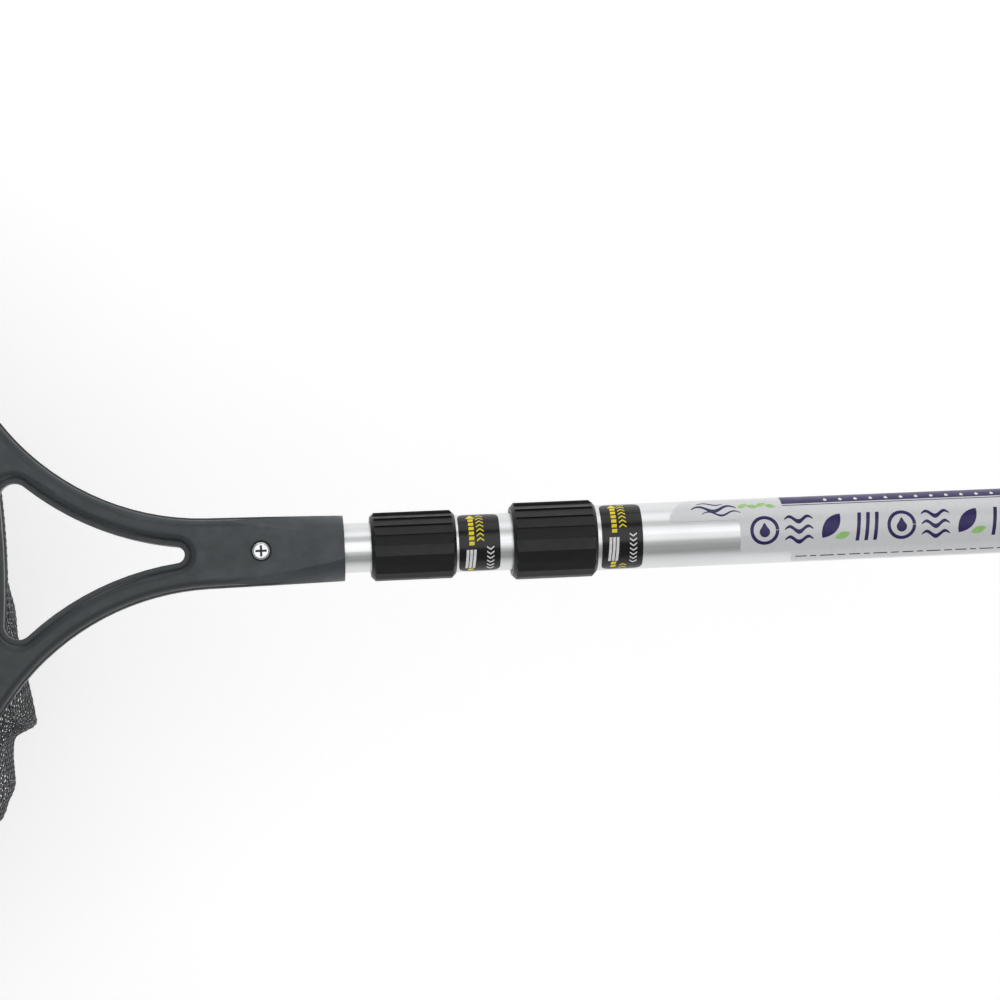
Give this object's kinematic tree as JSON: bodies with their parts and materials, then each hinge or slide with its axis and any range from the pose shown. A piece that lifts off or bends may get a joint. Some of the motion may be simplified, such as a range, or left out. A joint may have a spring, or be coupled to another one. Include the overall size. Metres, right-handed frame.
{
  "type": "leaf skimmer net",
  "caption": "Leaf skimmer net: moulded hoop with a deep net bag on a telescopic twist-lock handle.",
  "frame": {"origin": "on the handle's axis, at the middle of the hand grip", "axes": "+X along the handle towards its hang hole, the net head at -X; +Z out of the head's face, so the net bag hangs towards -Z; +Y completes the frame"},
  "size_m": [1.278, 0.36, 0.2897],
  "materials": {
    "aluminium": "satin anodised",
    "grey_moulding": "fine moulded texture, soft sheen",
    "sleeve_plastic": "satin, ribbed",
    "grip_rubber": "matt, ring grooves",
    "cap_plastic": "moulded",
    "white_nylon": "natural nylon",
    "cam_plastic": "glass-filled nylon",
    "chrome_screw": "chrome plated",
    "steel": "zinc plated",
    "net": "black knotless netting",
    "hem_webbing": "black woven webbing",
    "sticker_film": "gloss printed film",
    "label_film": "printed film"
  },
  "bodies": {
    "outer_pole": {"outer_tube": "aluminium", "rear_sleeve": "sleeve_plastic", "hand_grip": "grip_rubber", "end_cap": "cap_plastic", "end_cap_pin": "steel", "rear_lock_sticker": "sticker_film", "tube_label": "label_film"},
    "rear_bush": {"rear_glide_ring": "white_nylon"},
    "middle_pole": {"middle_tube": "aluminium", "front_sleeve": "sleeve_plastic", "front_lock_sticker": "sticker_film", "rear_cam_plug": "cam_plastic", "rear_cam_washer": "steel", "rear_cam_screw": "steel", "rear_plug_pin": "steel"},
    "rear_cam": {"rear_cam_ring": "white_nylon"},
    "front_bush": {"front_glide_ring": "white_nylon"},
    "front_pole": {"inner_tube": "aluminium", "front_cam_plug": "cam_plastic", "front_cam_washer": "steel", "front_cam_screw": "steel", "front_plug_pin": "steel", "tube_core_plug": "cam_plastic", "head_screw": "chrome_screw", "net_frame": "grey_moulding", "net_hem": "hem_webbing", "clamp_strip": "cap_plastic", "clamp_screws": "steel", "net_bag": "net"},
    "front_cam": {"front_cam_ring": "white_nylon"}
  },
  "joints": [
    {"name": "rear_lock_twist", "type": "hinge", "parent": "outer_pole", "child": "rear_bush", "pos_m": [-0.6, 0, 0], "axis": [1, 0, 0], "range_deg": [0, 90]},
    {"name": "rear_section_slide", "type": "slide", "parent": "rear_bush", "child": "middle_pole", "axis": [-1, 0, 0], "range_m": [0, 0.58]},
    {"name": "rear_cam_turn", "type": "hinge", "parent": "middle_pole", "child": "rear_cam", "pos_m": [0.0293, 0, 0.0006], "axis": [1, 0, 0], "range_deg": [-90, 0]},
    {"name": "front_lock_twist", "type": "hinge", "parent": "middle_pole", "child": "front_bush", "pos_m": [-0.68, 0, 0], "axis": [1, 0, 0], "range_deg": [0, 90]},
    {"name": "front_section_slide", "type": "slide", "parent": "front_bush", "child": "front_pole", "axis": [-1, 0, 0], "range_m": [0, 0.58]},
    {"name": "front_cam_turn", "type": "hinge", "parent": "front_pole", "child": "front_cam", "pos_m": [-0.0192, 0, 0.0006], "axis": [1, 0, 0], "range_deg": [-90, 0]}
  ],
  "couplings": [
    {"joint": "rear_cam_turn", "follows": "rear_lock_twist", "ratio": -1},
    {"joint": "front_cam_turn", "follows": "front_lock_twist", "ratio": -1}
  ]
}
